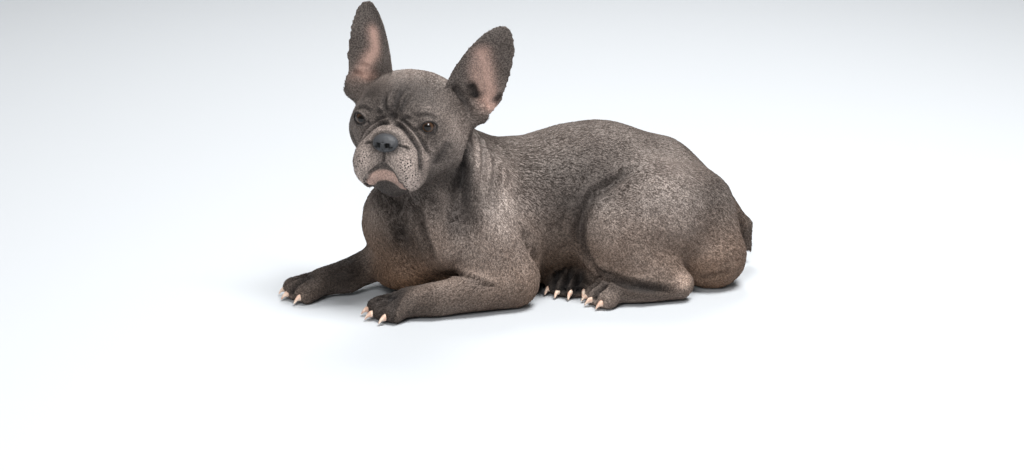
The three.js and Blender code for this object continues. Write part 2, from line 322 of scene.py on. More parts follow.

# %% [markdown]
# ## Brushes
#
# Two brushes shape everything on the skin. A crease sinks a line and can raise a lip along it, or
# raises a ridge when its depth is negative, and a dab pushes a round patch in or out. Either can
# also leave painted shade on the skin. A line on the face is given as its offset to the left and
# its height, and is laid on the skin from the front.


# %% Brushes
AHEAD_OF_NOSE = 120


class Skin:
    """The points of the skin while it is shaped, and the painted shade that creases and dabs leave on each.
    """

    def __init__(self, mesh):
        self.mesh = mesh
        self.points = points_of(mesh)
        self.normals = normals_of(mesh)
        self.near = neighbours_of(mesh)
        self.shade = np.zeros(len(self.points))
        self.tree = BVHTree.FromPolygons(self.points.tolist(), [p.vertices[:] for p in mesh.polygons])

    def update(self):
        place_points(self.mesh, self.points)
        self.normals = normals_of(self.mesh)

    def snapped(self, line):
        return np.array([self.tree.find_nearest(Vector(p))[0] for p in line])

    def from_front(self, line):
        """Points [left, height] on the head, laid on the skin from ahead of the nose."""
        found = []
        for l, u in line:
            start = Vector(from_head((AHEAD_OF_NOSE, l, u)))
            hit = self.tree.ray_cast(start, Vector(-FORWARD))[0]
            found.append(hit or self.tree.find_nearest(start)[0])
        return np.array(found)


def flowing(line, steps=7):
    """A smooth line through the points (Catmull-Rom)."""
    line = np.asarray(line, float)
    ends = np.concatenate([[2 * line[0] - line[1]], line, [2 * line[-1] - line[-2]]])
    t = np.linspace(0, 1, steps, endpoint=False)[:, None]
    pieces = []
    for a, b, c, d in zip(ends, ends[1:], ends[2:], ends[3:]):
        square, cube = 2 * a - 5 * b + 4 * c - d, 3 * b - a - 3 * c + d
        pieces.append(0.5 * (2 * b + (c - a) * t + square * t**2 + cube * t**3))
    return np.concatenate([*pieces, line[-1:]])


def distance_to_line(points, line):
    """Each point's distance to a line, and how far along it the nearest place is, from 0 to 1."""
    best, along = np.full(len(points), np.inf), np.zeros(len(points))
    for i, (a, b) in enumerate(zip(line, line[1:])):
        ab = b - a
        t = np.clip((points - a) @ ab / max(ab @ ab, 1e-18), 0, 1)
        d = np.linalg.norm(points - a - t[:, None] * ab, axis=1)
        nearer = d < best
        best[nearer], along[nearer] = d[nearer], (i + t[nearer]) / (len(line) - 1)
    return best, along


def crease(skin, line, depth, width, lip=0.0, shade=0.0, taper=0.12):
    """Sinks a line by depth, all in millimetres. Its ends fade out over a share of its length."""
    line = flowing(line)
    reach = 4 * width * MM
    box = (skin.points > line.min(0) - reach).all(1) & (skin.points < line.max(0) + reach).all(1)
    index = np.flatnonzero(box)
    d, along = distance_to_line(skin.points[index], line)
    fade = np.clip(np.minimum(along, 1 - along) / taper, 0, 1) if taper else 1.0
    d = d / (width * MM)
    sink = -depth * np.exp(-(d**2)) + lip * np.exp(-((d - 1.9) ** 2))
    skin.points[index] += skin.normals[index] * (fade * sink * MM)[:, None]
    # Painted shade along the crease, darkest on its line.
    skin.shade[index] = np.maximum(skin.shade[index], shade * fade * np.exp(-((0.75 * d) ** 2)))


def dab(skin, centre, radii, push, axes=HEAD_AXES, direction=None, shade=0.0):
    """Pushes a round patch out by so many millimetres, along the normals or in one direction."""
    d2 = (((skin.points - centre) @ axes.T / MM / np.asarray(radii, float)) ** 2).sum(1)
    amount = np.exp(-d2)
    index = np.flatnonzero(amount > 0.01)
    way = skin.normals[index] if direction is None else np.asarray(direction, float)
    skin.points[index] += way * (push * MM * amount[index])[:, None]
    # Painted shade over the pushed patch.
    skin.shade[index] = np.maximum(skin.shade[index], shade * amount[index])


def painted(points, line, radius, amount, steps=4):
    """A soft stroke of paint along a line: amount on it, and fading over the radius."""
    line = flowing(line, steps) if len(line) > 1 else np.repeat(np.asarray(line), 2, axis=0)
    d, _ = distance_to_line(points, line)
    return amount * np.exp(-((d / (radius * MM)) ** 2))


skin = Skin(skin_mesh)

# %% [markdown]
# ## The face
#
# A French bulldog's short muzzle folds its skin. A hood of skin arches over the nose and runs down
# each side of the pads, a rope lies outside it, and the brows press together above a deep stop.
# Broad forms come first, then the folds, and the lips and lids last, as a sculptor works.

# %% Broad forms of the face
NOSE_MIDDLE = to_head(middle_of("nose"))
NOSE_SIZE = np.ptp(to_head(corners_of("nose")), axis=0) / 2
UNDER_NOSE = 4.5  # how far the skin steps back behind the nose, clear of its nostrils
nose_reach = np.linalg.norm((to_head(skin.points) - NOSE_MIDDLE) / NOSE_SIZE, axis=1)
skin.points -= FORWARD * (np.clip((1 - nose_reach) / 0.15, 0, 1) * UNDER_NOSE * MM)[:, None]
for side in (1, -1):
    dab(skin, from_head((6, side * 20, -8)), (12, 7, 6), 1.5)
    dab(skin, from_head((0, side * 30, 18)), (14, 12, 7), 2.0)
    dab(skin, from_head((26, side * 22, -46)), (16, 15, 16), 1.6)
    dab(skin, from_head((4, side * 54, -26)), (14, 9, 15), -2.0)
# The stop is pressed in, with painted shade in its hollow.
dab(skin, from_head((10, 0, 8)), (12, 8, 6.5), -7.0, direction=FORWARD, shade=0.9)
dab(skin, from_head((-4, 3, 40)), (20, 5, 16), -1.6)
for l in (-6, 10):
    dab(skin, from_head((4, l, 26)), (20, 3.5, 12), 1.8)
skin.update()

# %% Folds of the face
HOOD = [
    (0, 2), (6, 1.5), (12, -0.5), (18, -5), (24, -10.5),
    (30, -17), (35, -24), (38, -32), (39.5, -41), (38.5, -50),
]
ROPE = [(3, 11), (8, 8), (14, 4.5), (20, 0), (26, -5), (31, -10.5), (36, -18), (40, -26), (43, -34)]
BROW_LINES = [
    ([(5, 46), (4, 36), (3, 26), (2, 17), (0, 9)], 3.0, 3.4),
    ([(15, 34), (12.5, 24), (9.5, 16), (7, 8)], 2.0, 2.8),
    ([(-13, 32), (-11, 23), (-8.5, 15), (-4, 8)], 2.4, 3.0),
    ([(-22, 12), (-16, 11), (-9, 9)], 2.2, 2.2),
    ([(22, 6), (16, 8.5), (9, 8.5)], 1.4, 2.0),
]
LID_FOLD = [(26, 9), (33, 12), (41, 11.5), (48, 7)]
EYE_BAG = [(29, -8), (36, -11), (44, -9.5), (50, -4)]
TEAR = [(31, -1), (28, -3.5), (25, -6)]
CHEEK_BONE = [(57, -12), (53, -19), (47, -28), (42, -37)]
CHEEK_HOLLOW = [(60, -18), (56, -27), (50, -38), (47, -46)]


def face_crease(line, depth, width, side=1, **finish):
    """A crease along a line on the face. A side of -1 puts it on the dog's right."""
    crease(skin, skin.from_front(np.array(line) * (side, 1)), depth, width, **finish)


# Each fold leaves painted shade along its bottom, as much as its shade.
for side in (1, -1):
    face_crease(HOOD, 3.4, 2.1, side, lip=1.1, shade=0.95, taper=0.1)
    face_crease(ROPE, 2.4, 1.9, side, lip=0.9, shade=0.8)
    face_crease(LID_FOLD, 1.1, 1.9, side, lip=0.7, shade=0.45)
    face_crease(EYE_BAG, 0.9, 1.8, side, lip=0.4, shade=0.3)
    face_crease(TEAR, 1.6, 1.7, side, shade=0.9)
    face_crease(CHEEK_BONE, -1.8, 3.2, side)
    face_crease(CHEEK_HOLLOW, 2.4, 4.6, side, shade=0.5)
for line, depth, width in BROW_LINES:
    face_crease(line, depth, width, lip=0.8, shade=0.7, taper=0.3)
skin.update()
print("face shaped,", int((skin.shade > 0.5).sum()), "points lie deep in a fold")

# %% [markdown]
# ## The mouth
#
# The upper lips hang as two flews that part under the nose in an upturned V, and the lower lip
# shows between them. Everything inside the V steps back behind the flews' edge. Then the edge is
# creased, the lower lip rolls out as a band beneath it, and the philtrum splits the upper lip.

# %% Mouth
LIP_EDGE = [(0, -38.5), (5.5, -42), (11.5, -46.5), (17, -52), (21, -59), (24, -67), (24, -75)]
LOWER_LIP = [(-19, -62), (-14, -57), (-7, -54), (0, -53), (7, -54), (14, -57), (19, -62)]
ABOVE_LIP = [(-15, -51), (-8, -47.5), (0, -46.5), (8, -47.5), (15, -51)]
BELOW_LIP = [(-17, -68), (-9, -62), (0, -60.5), (9, -62), (17, -68)]
NOSE_SLIT = [(11, -17), (16, -19), (22, -20), (28, -23)]
PHILTRUM = [(0, -24), (0, -29), (0, -34), (0, -39)]
LIP_HALF = 6.0  # half the height of the lower lip's band, in millimetres
STEP_BACK = 4.2  # how far the mouth lies behind the flews' edge


def flat_distance(line):
    """How far each point is from a line on the face, seen from the front, in millimetres."""
    seen = to_head(skin.points) * (0, 1, 1)
    flat_line = np.array([(0, l, u) for l, u in line], float)
    return distance_to_line(seen, flat_line)[0]


f, l, u = to_head(skin.points).T
edge_l, edge_u = np.array(LIP_EDGE).T
under_lip = np.interp(np.abs(l), edge_l, edge_u, right=-200) - u
front = np.clip((f - 8) / 8, 0, 1)
inside = np.clip(under_lip / 2.0, 0, 1) * front * (np.abs(l) < 24.5)
skin.points -= FORWARD * (inside * STEP_BACK * MM)[:, None]
skin.update()
lower_lip = inside * np.clip((LIP_HALF + 1 - flat_distance(LOWER_LIP)) / 2.0, 0, 1)
face_crease(LOWER_LIP, -3.4, 4.6, taper=0.1)
# The creases round the lips and the philtrum leave painted shade in their bottoms.
face_crease(ABOVE_LIP, 1.8, 1.5, shade=0.9, taper=0.1)
face_crease(BELOW_LIP, 2.2, 2.0, shade=0.9, taper=0.1)
for side in (1, -1):
    face_crease(LIP_EDGE, 1.8, 1.3, side, lip=0.8, shade=1.0, taper=0.02)
    face_crease(NOSE_SLIT, 1.5, 1.3, side, lip=0.6, shade=0.9, taper=0.2)
face_crease(PHILTRUM, 1.8, 1.2, lip=0.5, shade=0.95, taper=0.05)
skin.update()
print("lower lip", int((lower_lip > 0.5).sum()), "points")

# %% [markdown]
# ## Eyelids
#
# The skin bulges over each eyeball as a closed lid. Seen along the eye's own line of sight, the
# opening is an almond. Points inside it are drawn in behind the eyeball's surface, and the points
# nearest to the rim are slid onto it, so that the lid ends in a clean line.

# %% Eyelids
GAZE_OUT = math.radians(20)  # each eye looks this far outwards of straight ahead
OPENING = (7.6, 5.6)  # half width and half height of the opening, in millimetres
LID_SLANT = 0.10  # how much the opening rises towards the ear
RIM_BAND = 0.09  # points this near to the opening's edge are slid onto it
LID_END = 1.7  # the lids end at this many times the opening


def eye_axes(side):
    """Rows: along the line of sight, towards the ear, and up."""
    s = SIDES[side]
    sight = FORWARD * math.cos(GAZE_OUT) + s * LEFT * math.sin(GAZE_OUT)
    outward = s * (LEFT * math.cos(GAZE_OUT) - s * FORWARD * math.sin(GAZE_OUT))
    return np.array([sight, outward, UP])


lid_rim = np.zeros(len(skin.points))
for side in SIDES:
    axes = eye_axes(side)
    local = (skin.points - EYES[side]) @ axes.T / MM
    ahead, out, high = local.T
    tilt = LID_SLANT * out
    ratio = np.hypot(out / OPENING[0], (high - tilt) / (OPENING[1] * np.where(high > tilt, 1.0, 0.92)))
    close = (ahead > 0) & (np.linalg.norm(local, axis=1) < EYE_RADIUS / MM + 6)
    rim = close & (np.abs(ratio - 1) < RIM_BAND)
    local[rim, 1] /= ratio[rim]
    local[rim, 2] = tilt[rim] / ratio[rim] + (high - tilt)[rim] / ratio[rim]
    reach = np.linalg.norm(local, axis=1)
    wanted = np.where(ratio < 0.91, EYE_RADIUS / MM - 2.5, EYE_RADIUS / MM + 0.35)
    lid_top = EYE_RADIUS / MM + 1.5 + 0.5 * np.exp(-(((ratio - 1.35) / 0.25) ** 2))
    scale = np.where(ratio < 1.09, wanted, np.maximum(reach, lid_top)) / np.maximum(reach, 1e-6)
    near_eye = close & (ratio < LID_END)
    blend = np.clip((LID_END - ratio) / 0.3, 0, 1)
    scale = 1 + (scale - 1) * np.where(ratio < 1.09, 1, blend)
    local[near_eye] *= scale[near_eye, None]
    skin.points[near_eye] = local[near_eye] * MM @ axes + EYES[side]
    lid_rim = np.maximum(lid_rim, close * np.exp(-(((ratio - 1.0) / 0.22) ** 2)))
    lid_rim = np.maximum(lid_rim, close * (ratio < 1.0))
skin.update()
print("lid points", int((lid_rim > 0.5).sum()))

# %% [markdown]
# ## Ears
#
# Inside a bat ear, the inner edge rolls forwards into a soft fold, the cup deepens towards the
# canal, and the outer edge splits into a small pocket low down. The brushes are laid on lines in
# the head's frame. Each ear's own solid gives its axes, which tell the inside of the ear and the lie
# of its hair: its base is the part next to the head and its tip is the point farthest from it.


# %% Ear axes
def ear_axes(side):
    """The length, and rows: from base to tip, outwards, and forwards."""
    corners = corners_of(f"ear_{side}")
    heights = to_head(corners)[:, 2]
    tip = corners[heights > heights.max() - 6].mean(0)
    base = corners[heights < heights.min() + 14].mean(0)
    rise = unit(tip - base)
    out = SIDES[side] * LEFT
    out = unit(out - rise * (out @ rise))
    ahead = np.cross(rise, out) * -SIDES[side]
    ahead = ahead * np.sign(ahead @ FORWARD)
    return float(np.linalg.norm(tip - base)), np.array([rise, out, ahead])


# %% Ear folds
ear_inside = np.zeros(len(skin.points))
part_of_point = np.array(parts_at(skin.points))
for side in SIDES:
    length, axes = ear_axes(side)
    own = part_of_point == f"ear_{side}"
    facing = skin.normals @ axes[2]
    ear_inside[own] = np.clip(facing[own] * 2.5, 0, 1)
    print(f"ear_{side}", round(length / MM), "mm long")

EAR_CREASES = [  # line on the head in millimetres, depth, width, lip, shade
    ([(-48, 65, 38), (-52, 67, 27), (-54, 70, 17)], 3.0, 4.5, 1.0, 0.6),
    ([(-46, 90, 20), (-48, 95, 25), (-48, 101, 33)], 3.0, 1.9, 1.6, 0.9),
    ([(-38, 44, 44), (-42, 52, 30), (-44, 58, 17), (-46, 63, 2)], 3.4, 3.2, 1.0, 0.75),
    ([(-50, 66, 8), (-52, 76, 9), (-52, 85, 14)], 2.2, 2.4, 1.4, 0.7),
    ([(-50, 70, -1), (-52, 80, 3), (-50, 88, 8)], 1.8, 2.2, 1.0, 0.6),
    ([(-45, 60, 70), (-47, 60, 55), (-48, 59, 42)], -2.2, 3.2, 0.0, 0.0),
    ([(-46, -84, 23), (-47, -79, 17), (-46, -72, 12)], 3.2, 2.8, 1.6, 0.9),
    ([(-48, -60, 20), (-49, -55, 30), (-48, -50, 40)], 2.6, 2.8, 0.8, 0.6),
    ([(-48, -64, 30), (-50, -70, 34), (-49, -76, 36)], 1.8, 2.2, 1.2, 0.45),
    ([(-49, -56, 42), (-50, -62, 45), (-50, -68, 47)], 1.4, 2.0, 1.0, 0.4),
]
# Each ear crease leaves painted shade along its bottom, as much as its shade column.
for line, depth, width, lip, shade in EAR_CREASES:
    crease(skin, skin.snapped(from_head(line)), depth, width, lip=lip, shade=shade, taper=0.25)
dab(skin, from_head((-46, -84, 29)), (7, 5, 6), 3.0)
dab(skin, from_head((-51, 82, 20)), (7, 7, 5), 2.2)
skin.update()

# %% [markdown]
# ## Paws
#
# Four toes make a paw, parted by clefts that run back from between the claws. Each claw solid
# tells where its toe is, so a cleft is a crease that starts between two neighbouring claws and
# runs back and up over the foot.

# %% Toe clefts
PAWS = ("forepaw_left", "forepaw_right", "hindfoot_left", "hindfoot_right")
TOE_SHADOW = {"forepaw_left": 1.0, "forepaw_right": 0.75, "hindfoot_left": 0.5, "hindfoot_right": 0.3}
CLEFT = [(-8, 3), (-5, 13), (2, 21), (12, 27), (24, 31)]  # back from the claws, and height
painted_toe_shadow = np.zeros(len(skin.points))
for paw in PAWS:
    roots = np.array([middle_of(f"claw_{paw}_{i}") for i in (1, 2, 3, 4)])
    heel = middle_of(paw)
    for a, b in zip(roots, roots[1:]):
        between = (a + b) / 2 * (1, 1, 0)
        back = unit((heel - between) * (1, 1, 0))
        line = [between + back * along * MM + [0, 0, high * MM] for along, high in CLEFT]
        # Each cleft leaves painted shade down its bottom.
        crease(skin, skin.snapped(line), 8.5, 3.0, lip=1.8, shade=1.0, taper=0.12)
    for root in roots:
        back = unit(heel - root)
        toe = skin.snapped([root + back * 10 * MM + [0, 0, 6 * MM]])[0]
        dab(skin, toe, (7, 7, 7), 1.4, axes=np.eye(3))
        # Painted shade on the top of the foot behind each toe, strongest on the near forepaw.
        knuckle = np.linalg.norm(skin.points - toe - back * 20 * MM, axis=1)
        shadow = TOE_SHADOW[paw] * np.exp(-((knuckle / (8 * MM)) ** 2))
        painted_toe_shadow = np.maximum(painted_toe_shadow, shadow)
skin.update()
print(len(PAWS), "paws")

# %% [markdown]
# ## Folds of the body
#
# Loose skin folds where the dog bends: round the front of the thigh, behind the upper arm, in the
# crook of the elbow, under the jaw and down the throat and nape. These lines are in millimetres
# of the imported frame. The far side, which lies the same way, gets the same folds mirrored.

# %% Body folds
MIDDLE_Y = float(middle_of("chest")[1])
THIGH_EDGE = [
    (135, -60, 147), (115, -72, 146), (91, -75, 135), (68, -78, 125), (50, -81, 112), (40, -83, 90),
    (38, -86, 70), (42, -90, 53), (53, -98, 38), (76, -119, 27), (105, -131, 21), (135, -133, 14),
]
BODY_FOLDS = [  # line, depth, width, lip, shade, mirrored
    (THIGH_EDGE, 6.5, 5.2, 2.8, 0.7, True),
    (THIGH_EDGE[7:], 4.5, 3.6, 1.5, 0.9, True),
    ([(-39, -98, 99), (-28, -99, 83), (-22, -97, 69), (-12, -90, 52), (-8, -92, 36)],
     4.5, 6.0, 2.5, 0.4, True),
    ([(-85, -94, 96), (-91, -97, 79), (-100, -88, 58), (-106, -72, 46)], 2.6, 7.0, 1.0, 0.25, True),
    ([(-108, -60, 38), (-101, -84, 42), (-92, -103, 42), (-80, -111, 38), (-64, -114, 31)],
     4.5, 3.2, 1.5, 0.8, True),
    ([(-81, -60, 201), (-86, -75, 185), (-87, -68, 165), (-90, -69, 150), (-97, -71, 130), (-102, -80, 104)],
     9.0, 4.6, 2.0, 0.95, False),
    ([(-90, -69, 147), (-95, -71, 132), (-101, -78, 112), (-104, -86, 96)], 7.0, 9.0, 1.0, 0.8, False),
    ([(-64, -22, 190), (-58, -28, 182), (-60, -48, 172), (-65, -66, 156), (-72, -77, 132)],
     3.2, 3.4, 2.0, 0.5, False),
    ([(-50, -36, 174), (-49, -56, 158), (-54, -71, 140), (-60, -82, 122), (-70, -94, 104)],
     4.0, 5.5, 2.0, 0.45, False),
    ([(-169, 9, 116), (-166, -15, 108), (-160, -28, 99), (-157, -34, 88), (-157, -36, 76)],
     5.0, 3.6, 2.4, 0.7, False),
    ([(-154, -24, 122), (-152, -32, 107), (-152, -38, 92), (-153, -38, 74), (-152, -34, 57)],
     6.0, 5.0, 2.4, 0.8, False),
    ([(-140, -41, 127), (-136, -50, 106), (-133, -61, 89), (-130, -72, 71), (-122, -68, 50)],
     5.5, 4.4, 2.6, 0.7, False),
    ([(-120, -55, 130), (-119, -62, 111), (-123, -70, 94)], 4.0, 6.0, 1.5, 0.5, False),
    ([(-54, -92, 110), (-66, -103, 97), (-76, -104, 86)], -2.4, 7.0, 0.0, 0.0, True),
    ([(142, -135, 25), (160, -112, 17), (176, -101, 18), (191, -110, 22), (212, -112, 27)],
     3.4, 3.6, 1.4, 0.45, True),
    ([(142, -135, 22), (132, -133, 27), (119, -134, 17)], -1.8, 4.0, 0.0, 0.0, True),
]
BELLY_SIDE = [(46, -76, 118), (27, -80, 92), (24, -84, 68), (29, -88, 48)]


def body_lines(line, mirrored=True):
    """The line in metres, and the same line on the dog's other side."""
    line = np.array(line) * MM
    other = line * (1, -1, 1) + (0, 2 * MIDDLE_Y, 0)
    return [line, other] if mirrored else [line]


# Each fold leaves painted shade along its bottom, as much as its shade column.
for line, depth, width, lip, shade, mirrored in BODY_FOLDS:
    for copy in body_lines(line, mirrored):
        crease(skin, skin.snapped(copy), depth, width, lip=lip, shade=shade, taper=0.25)
for copy in body_lines(BELLY_SIDE):
    crease(skin, skin.snapped(copy), 5.0, 14, taper=0.2)
skin.update()
print(len(BODY_FOLDS), "folds of the body")

# %% [markdown]
# ## The skin's depth and its markings
#
# The solids reach out to the tips of the coat, so the skin lies inside them by the coat's depth.
# What the coat and the skin share is kept in point attributes: how pale, pink, dark or warm each
# place is, and where whiskers grow. The dark mask holds dark skin and painted shade, and the tone
# holds the coat's own tone together with painted light and shade. One node group turns these
# masks into colour for both.

# %% Coat lengths and masks
HAIR = {  # length of the coat in millimetres
    "head": 3.4, "muzzle": 2.0, "lower_jaw": 2.0, "ear": 1.7, "forepaw": 3.0, "hindfoot": 3.0,
    "forearm": 3.8, "shank": 4.2, "tail": 5.5, "neck": 5.0, "chest": 6.0, "thigh": 4.4,
}
parts = parts_at(skin.points)
hair = relaxed(by_part(parts, HAIR, 4.2), skin.near, 30)
FACE_HAIR = 2.2
ahead = to_head(skin.points)[:, 0]
face = np.clip((ahead + 30) / 14, 0, 1) * on_head(skin.points)
hair = hair + face * (np.minimum(hair, FACE_HAIR) - hair)
bare_lip = np.clip(lower_lip * 1.4, 0, 1)
bare_eye = np.clip(lid_rim * 1.3, 0, 1)
nose_reach = np.linalg.norm((to_head(skin.points) - NOSE_MIDDLE) / (11, 15, 11), axis=1)
bare_nose = np.clip(1.42 - nose_reach, 0, 0.4) / 0.4
growth = (1 - bare_lip) * (1 - bare_eye) * (1 - bare_nose)

muzzle = relaxed(by_part(parts, {"muzzle": 1.0, "lower_jaw": 1.0}, 0.0), skin.near, 40)
onto = skin.points


def strokes(values, table):
    """Adds strokes of paint, each a line on the head with its radius and amount."""
    for line, radius, amount in table:
        values = np.maximum(values, painted(onto, from_head(line), radius, amount))
    return values


def both_sides(table):
    mirror = [([(a, -b, c) for a, b, c in line], radius, amount) for line, radius, amount in table]
    return table + mirror


PAD_STROKES = both_sides([([(30, 24, -38), (30, 29, -50), (27, 31, -62)], 11, 1.0)])
PALE_STROKES = both_sides(
    [
        ([(24, 0, 0), (23, 8, -1), (20, 16, -5), (17, 24, -12), (14, 31, -22)], 2.2, 0.5),
        ([(14, 22, 0), (11, 28, -8), (8, 34, -16), (5, 40, -28)], 2.6, 0.4),
        ([(24, 18, -26), (26, 24, -32)], 6, 0.5),
        ([(4, 30, 20), (2, 38, 20), (-2, 45, 13)], 3, 0.12),
        ([(-12, 52, -14), (-8, 45, -27)], 4, 0.35),
    ]
)
PINK_STROKES = [
    ([(-42, 79, 75), (-48, 81, 60), (-50, 83, 47), (-52, 86, 29), (-52, 80, 17)], 9.5, 0.7),
    ([(-46, 70, 66), (-49, 71, 50), (-52, 76, 36)], 8, 0.6),
    ([(-50, 92, 16), (-51, 80, 16)], 6, 0.85),
    ([(-44, -49, 84), (-47, -48, 65), (-50, -57, 52), (-52, -65, 38), (-51, -71, 27)], 7.5, 1.0),
    ([(-50, -58, 34), (-50, -68, 24)], 8, 0.85),
]
pads = strokes(np.zeros(len(onto)), PAD_STROKES) * (1 - inside) * np.clip(muzzle * 3, 0, 1)
pale = strokes(0.25 * muzzle * (1 - inside), PALE_STROKES)
pale = np.clip(np.maximum(pale, pads), 0, 1)
nape = [(-74, -46, 184), (-72, -62, 168), (-76, -72, 150)]
pale = np.maximum(pale, painted(onto, np.array(nape) * MM, 8, 0.4))
pink = strokes(np.zeros(len(onto)), PINK_STROKES) * np.maximum(ear_inside, part_of_point == "head")
pink = np.maximum(relaxed(pink, skin.near, 3), bare_lip * 0.5)
# The dark mask: painted shade from the creases and dabs, the dark skin of the lid rims and round the nose
# leather, and painted shade on the feet.
dark = np.clip(skin.shade, 0, 1)
dark = np.maximum(dark, bare_eye)
dark = np.maximum(dark, 0.75 * np.clip(bare_nose * 1.2, 0, 1))
dark = np.maximum(dark, painted_toe_shadow)
# Painted shade in the mouth, which lies stepped back behind the flews.
dark = np.maximum(dark, 0.6 * inside * (1 - lower_lip))
# Painted shade in the deep gap between the jaw and the neck.
under_jaw_shade = [(-88, -68, 158), (-93, -71, 138), (-99, -76, 118), (-104, -86, 98)]
dark = np.maximum(dark, painted(onto, np.array(under_jaw_shade) * MM, 12, 1.0))
# Painted shade in the left ear's canal, at the stop, in the brow furrow, down the philtrum, in the tear
# folds and in the cheek hollows.
dark = strokes(
    dark,
    [
        ([(-50, 66, 36), (-53, 68, 26), (-54, 70, 18)], 5.5, 1.0),
        ([(14, 0, 12), (6, 0, 18)], 8, 0.45),
        ([(2, 2, 30), (6, 2, 16)], 10, 0.3),
        ([(38, 0, -27), (38, 0, -35)], 8, 0.6),
    ]
    + both_sides([([(10, 30, -2), (12, 25, -6)], 5, 0.4), ([(-8, 50, -22), (-4, 46, -40)], 5.5, 0.65)]),
)
dark = relaxed(dark, skin.near, 2)
low = np.clip(1 - skin.points[:, 2] / (110 * MM), 0, 1)
brown = {"chest": 1, "belly": 1, "thigh": 0.7, "upper_arm": 0.5, "shank": 0.5}
warm = np.clip(low * relaxed(by_part(parts, brown, 0.25), skin.near, 40) * 1.3, 0, 1)

# Partly the coat's own tone and partly painted light and shade: a part that lies in shade, such as the neck
# under the jaw or the front of the chest, is painted darker.
PART_TONE_AND_SHADE = {  # how much lighter or darker than the flank each part is
    "thigh": 1.12, "shank": 1.1, "neck": 0.55, "chest": 0.8, "belly": 0.66, "upper_arm": 1.4,
    "forearm": 0.8, "forepaw": 0.42, "hindfoot": 0.7, "tail": 0.75, "ear": 0.6, "head": 0.72,
    "lower_jaw": 0.7,
}
# Patches of painted light and shade, partly also the coat's own tone. The darkening ones lie mostly in
# shade: under the jaw, in the chest's fold, over the hind foot, under the belly and the elbow, and on the
# far forepaw. The lightening ones sit on the shoulder, the top of the back, the heel and the chest.
TONE_AND_SHADE_PATCHES = [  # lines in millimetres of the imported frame, with a radius and a change of tone
    ([(-70, -50, 150), (-30, -80, 140), (-10, -88, 120)], 34, 0.25),
    ([(0, -70, 150), (40, -74, 150), (60, -74, 150)], 30, -0.25),
    ([(40, -20, 170), (110, -20, 158)], 40, 0.1),
    ([(20, -90, 110), (25, -92, 70)], 30, -0.35),
    ([(-92, -78, 140), (-90, -80, 112)], 22, -0.7),
    ([(-78, -84, 140), (-88, -92, 112)], 15, -0.5),
    ([(118, -133, 20), (70, -118, 24)], 9, -0.6),
    ([(144, -134, 26)], 8, 1.5),
    ([(195, -94, 105), (215, -70, 115)], 26, -0.42),
    ([(-152, -36, 84), (-140, -55, 74)], 18, -0.45),
    ([(-140, -30, 28), (-120, -60, 34)], 18, 0.6),
    ([(-175, 5, 60), (-172, 10, 90)], 20, 0.3),
    ([(-170, 50, 34), (-202, 0, 34)], 26, -0.55),
    ([(0, -84, 12), (40, -78, 14)], 16, -0.6),
    ([(5, -60, 20), (40, -50, 20)], 28, -0.5),
    ([(-110, -100, 50), (-150, -100, 42)], 13, 0.5),
    ([(-30, -100, 30), (-60, -104, 16)], 16, -0.35),
]
tone = relaxed(by_part(parts, PART_TONE_AND_SHADE, 1.0), skin.near, 30)
for line, radius, change in TONE_AND_SHADE_PATCHES:
    tone = tone + painted(onto, np.array(line) * MM, radius, change)
# Painted light on the cheek that faces the lamps and on the top of the skull; the forehead is painted
# darker.
tone = tone + painted(onto, from_head([(-20, 70, -10), (-30, 66, -34)]), 20, 0.6)
tone = tone - painted(onto, from_head([(8, 0, 28), (0, 4, 44)]), 18, 0.25)
tone = tone + painted(onto, from_head([(-45, 0, 50), (-60, 20, 40)]), 28, 0.5)
tone = tone - painted(onto, from_head([(0, 24, 28), (-14, 30, 42)]), 20, 0.32)
tone = tone - painted(onto, from_head([(0, -30, 25)]), 18, 0.4)
for claw in CLAW_NODES:
    if "hindfoot_right" not in claw:
        toe_top = np.linalg.norm(onto - middle_of(claw), axis=1)
        tone = tone + 0.45 * np.exp(-((toe_top / (11 * MM)) ** 2))
tone = np.clip(tone, 0.2, 2.2)
MASKS = {"pale": pale, "pink": pink, "dark": dark, "warm": warm, "pads": pads, "tone": tone}

inset = relaxed(np.where(hair > 6, 1.6, np.where(hair > 3, 1.0, 0.5)), skin.near, 10)
skin.points -= skin.normals * (inset * growth * MM)[:, None]
skin.points[:, 2] = np.maximum(skin.points[:, 2], 0.3 * MM)
skin.update()
for name, values in MASKS.items():
    layer = skin_mesh.attributes.new(name, "FLOAT", "POINT")
    layer.data.foreach_set("value", values.astype(np.float32))
print("hair from", hair.min().round(1), "to", hair.max().round(1), "mm")

# %% [markdown]
# ## The lie of the coat
#
# Hair grows from the nose backwards, down the limbs and towards the toes. Each part is given one
# plain direction, the directions are relaxed over the skin so that they flow into one another, and
# each is laid flat against the skin.

# %% Lie of the coat
LIE = {
    "neck": (0.55, 0, -0.8), "chest": (0.75, 0, -0.65), "belly": (1, 0, -0.3), "tail": (0.25, 0, -1),
    "upper_arm": (0.25, 0, -1), "forearm": (-1, 0, -0.35), "forepaw": (-1, 0, -0.3),
    "thigh": (0.75, 0, -0.65), "shank": (0.6, 0, -0.8), "hindfoot": (-1, 0, -0.2),
}
flow = np.zeros_like(skin.points)
parts = np.array(parts)
f, l, u = to_head(skin.points).T
for name in set(parts):
    own = parts == name
    if name.startswith("ear"):
        flow[own] = ear_axes(name[4:])[1][0]
    elif name in ("head", "muzzle", "lower_jaw"):
        sideways = LEFT * np.clip(l[own] / 30, -1, 1)[:, None]
        downwards = UP * np.where(u[own] < -8, -0.75, 0.15)[:, None]
        flow[own] = -FORWARD + 0.6 * sideways + downwards
    else:
        flow[own] = next(v for k, v in LIE.items() if name.startswith(k))
flow = relaxed(unit(flow), skin.near, 60)
flow = unit(flow - skin.normals * (flow * skin.normals).sum(1, keepdims=True))
